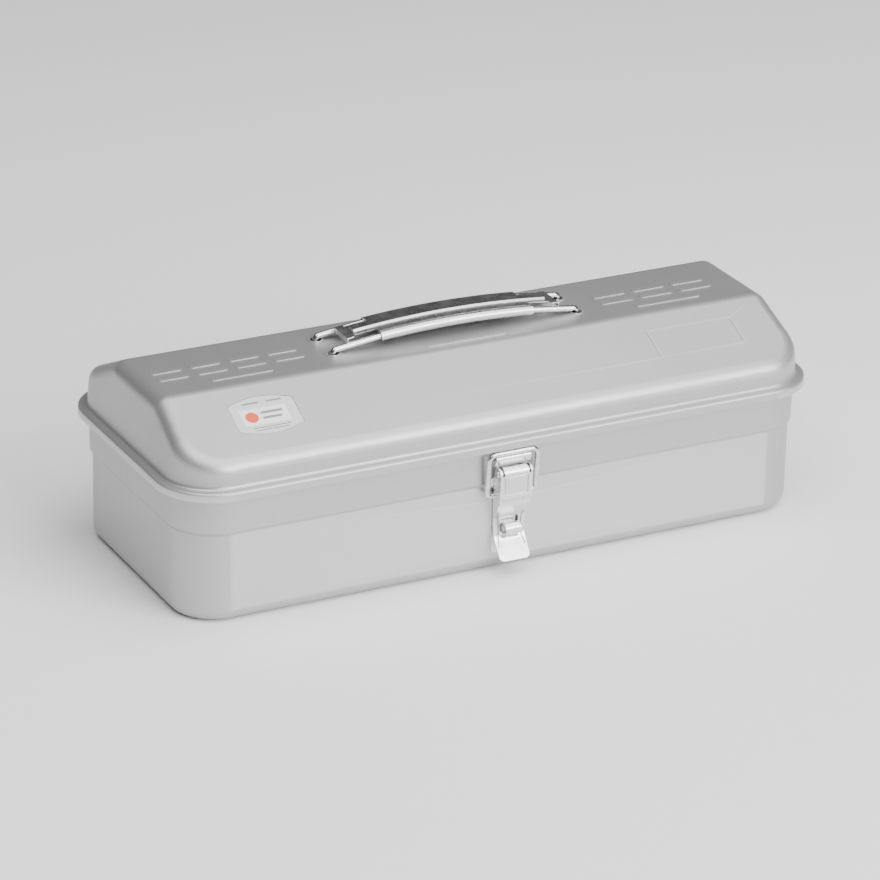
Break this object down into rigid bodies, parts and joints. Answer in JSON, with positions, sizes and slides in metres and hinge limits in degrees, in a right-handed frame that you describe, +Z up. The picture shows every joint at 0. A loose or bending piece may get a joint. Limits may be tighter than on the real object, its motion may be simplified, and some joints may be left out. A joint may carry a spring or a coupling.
{
  "type": "metal tool box",
  "caption": "Pressed-steel hand tool box with a hipped hinged lid, a drop-down wire-loop handle and a front toggle latch with a padlock eye.",
  "frame": {"origin": "centre of the flat underside", "axes": "+X along the length, to the right seen from the latch side; the latch side faces -Y; +Z up. Rest pose: lid closed, latch closed, handle down."},
  "size_m": [0.359, 0.1584, 0.1156],
  "materials": {
    "painted_steel": "satin silver metallic enamel over pressed steel",
    "plated_steel": "satin zinc-plated pressed steel",
    "plated_wire": "bright nickel-plated steel wire",
    "rivet_steel": "bright steel rivet",
    "label": null
  },
  "bodies": {
    "tub": {"tub": "painted_steel", "latch_base_plate": "plated_steel", "latch_base_rivets": "rivet_steel", "latch_pivot_rivet": "rivet_steel", "hinge_left_tub_leaf": "plated_steel", "hinge_left_pin": "plated_wire", "hinge_right_tub_leaf": "plated_steel", "hinge_right_pin": "plated_wire", "hinge_tub_rivets": "rivet_steel"},
    "lid": {"lid": "painted_steel", "handle_bracket_left": "plated_steel", "handle_bracket_right": "plated_steel", "latch_catch_plate": "plated_steel", "label_plate": "label", "hinge_left_lid_leaf": "plated_steel", "hinge_right_lid_leaf": "plated_steel", "hinge_lid_rivets": "rivet_steel"},
    "grip": {"handle_grip": "plated_steel"},
    "loop_left": {"handle_loop_left": "plated_wire"},
    "loop_right": {"handle_loop_right": "plated_wire"},
    "lever": {"latch_lever": "plated_steel"},
    "bail": {"latch_bail": "plated_wire"}
  },
  "joints": [
    {"name": "lid_hinge", "type": "hinge", "parent": "tub", "child": "lid", "pos_m": [0, 0.0772, 0.0684], "axis": [-1, 0, 0], "range_deg": [0, 105]},
    {"name": "grip_lift", "type": "slide", "parent": "lid", "child": "grip", "axis": [0, 0, 1], "range_m": [0, 0.0085]},
    {"name": "loop_left_swing", "type": "hinge", "parent": "lid", "child": "loop_left", "pos_m": [-0.0685, 0, 0.1024], "axis": [0, -1, 0], "range_deg": [0, 14.71]},
    {"name": "loop_right_swing", "type": "hinge", "parent": "lid", "child": "loop_right", "pos_m": [0.0685, 0, 0.1024], "axis": [0, 1, 0], "range_deg": [0, 14.71]},
    {"name": "lever_hinge", "type": "hinge", "parent": "tub", "child": "lever", "pos_m": [0, -0.0745, 0.055], "axis": [-1, 0, 0], "range_deg": [0, 130]},
    {"name": "bail_hinge", "type": "hinge", "parent": "lever", "child": "bail", "pos_m": [0, -0.072, 0.0428], "axis": [1, 0, 0], "range_deg": [0, 165.11]}
  ],
  "couplings": [
    {"joint": "loop_left_swing", "follows": "grip_lift", "rad_per_m": 30.184},
    {"joint": "loop_right_swing", "follows": "grip_lift", "rad_per_m": 30.184},
    {"joint": "bail_hinge", "follows": "lever_hinge", "ratio": 1.27}
  ]
}
